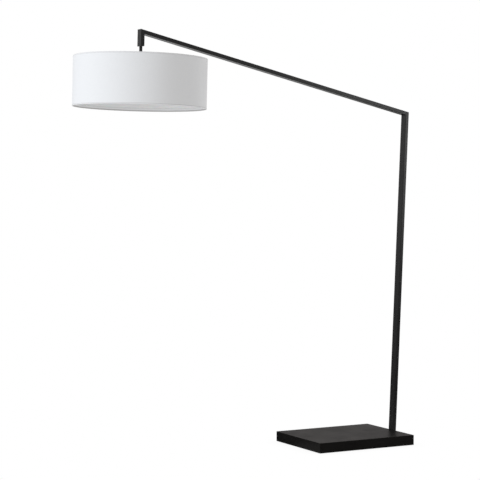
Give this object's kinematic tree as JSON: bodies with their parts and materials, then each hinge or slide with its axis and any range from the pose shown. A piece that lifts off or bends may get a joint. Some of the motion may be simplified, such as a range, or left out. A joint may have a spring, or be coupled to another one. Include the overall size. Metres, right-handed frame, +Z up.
{
  "type": "arc floor lamp",
  "caption": "Floor lamp with a weighted block base, a leaning rectangular pole, a long mitred arm and a hanging drum shade.",
  "frame": {"origin": "middle of the base's underside, on the floor", "axes": "+Z up; +X along the base's length towards the pole, so the arm reaches towards -X; +Y across the arm"},
  "size_m": [1.9806, 0.686, 2.2119],
  "materials": {
    "tube_paint": "satin black powder coat",
    "base_finish": "satin black lacquer",
    "ballast_iron": "rough cast, painted grey",
    "panel_board": "bare hardboard",
    "pad_felt": "needled felt",
    "zinc_steel": "zinc plated",
    "black_plastic": "fine texture",
    "nylon": "natural nylon",
    "brass": "turned",
    "lead_sheath": "matt",
    "phenolic": "moulded brown",
    "frame_wire": "white epoxy coat",
    "shade_cloth": "plain weave cloth, white",
    "shade_liner": "white opaline sheet",
    "bulb_screw": "rolled",
    "bulb_plastic": "white",
    "bulb_diffuser": "frosted white"
  },
  "bodies": {
    "stand": {"floor_pad": "pad_felt", "base_block": "base_finish", "ballast_slab_left": "ballast_iron", "ballast_slab_right": "ballast_iron", "ballast_bolts": "zinc_steel", "base_bottom_panel": "panel_board", "bottom_panel_screws": "zinc_steel", "anchor_bracket": "zinc_steel", "bracket_screws": "zinc_steel", "taper_spacer": "tube_paint", "pole_bolts": "zinc_steel", "pole_nut_plate": "zinc_steel", "pole_lower": "tube_paint", "pole_upper": "tube_paint", "pole_joiner": "zinc_steel", "pole_joiner_screws": "zinc_steel", "pole_end_plug": "black_plastic", "cord_gland": "black_plastic", "lead_connector": "nylon", "inner_lead": "lead_sheath", "elbow_plates": "zinc_steel", "elbow_screws": "zinc_steel", "arm_rear": "tube_paint", "arm_front": "tube_paint", "arm_joiner": "zinc_steel", "arm_joiner_screws": "zinc_steel", "tip_plates": "zinc_steel", "tip_screws": "zinc_steel", "drop_tube": "tube_paint", "drop_end_plate": "tube_paint", "swivel_bush": "nylon", "drop_connector": "nylon"},
    "shade_head": {"swivel_washer": "zinc_steel", "swivel_nut": "brass", "threaded_nipple": "brass", "stem_sleeve": "tube_paint", "stem_lead": "lead_sheath", "spider_hub": "frame_wire", "spider_arms": "frame_wire", "top_ring": "frame_wire", "bottom_ring": "frame_wire", "top_hem": "shade_cloth", "bottom_hem": "shade_cloth", "shade_liner": "shade_liner", "shade_cloth": "shade_cloth", "hub_nut": "brass", "holder_cap": "phenolic", "holder_shell": "phenolic", "switch_block": "phenolic", "screw_shell": "brass", "centre_contact": "brass", "bulb_cap": "bulb_screw", "bulb_collar": "bulb_plastic", "bulb_dome": "bulb_diffuser"},
    "switch": {"switch_shaft": "zinc_steel", "switch_knob": "black_plastic"}
  },
  "joints": [
    {"name": "shade_swivel", "type": "hinge", "parent": "stand", "child": "shade_head", "pos_m": [-1.22877, 0, 2.12547], "axis": [0.0262, 0, 0.9997], "range_deg": [-170, 170]},
    {"name": "switch_turn", "type": "hinge", "parent": "shade_head", "child": "switch", "pos_m": [-1.23165, -0.02, 2.01551], "axis": [0, -1, 0], "continuous": true}
  ]
}
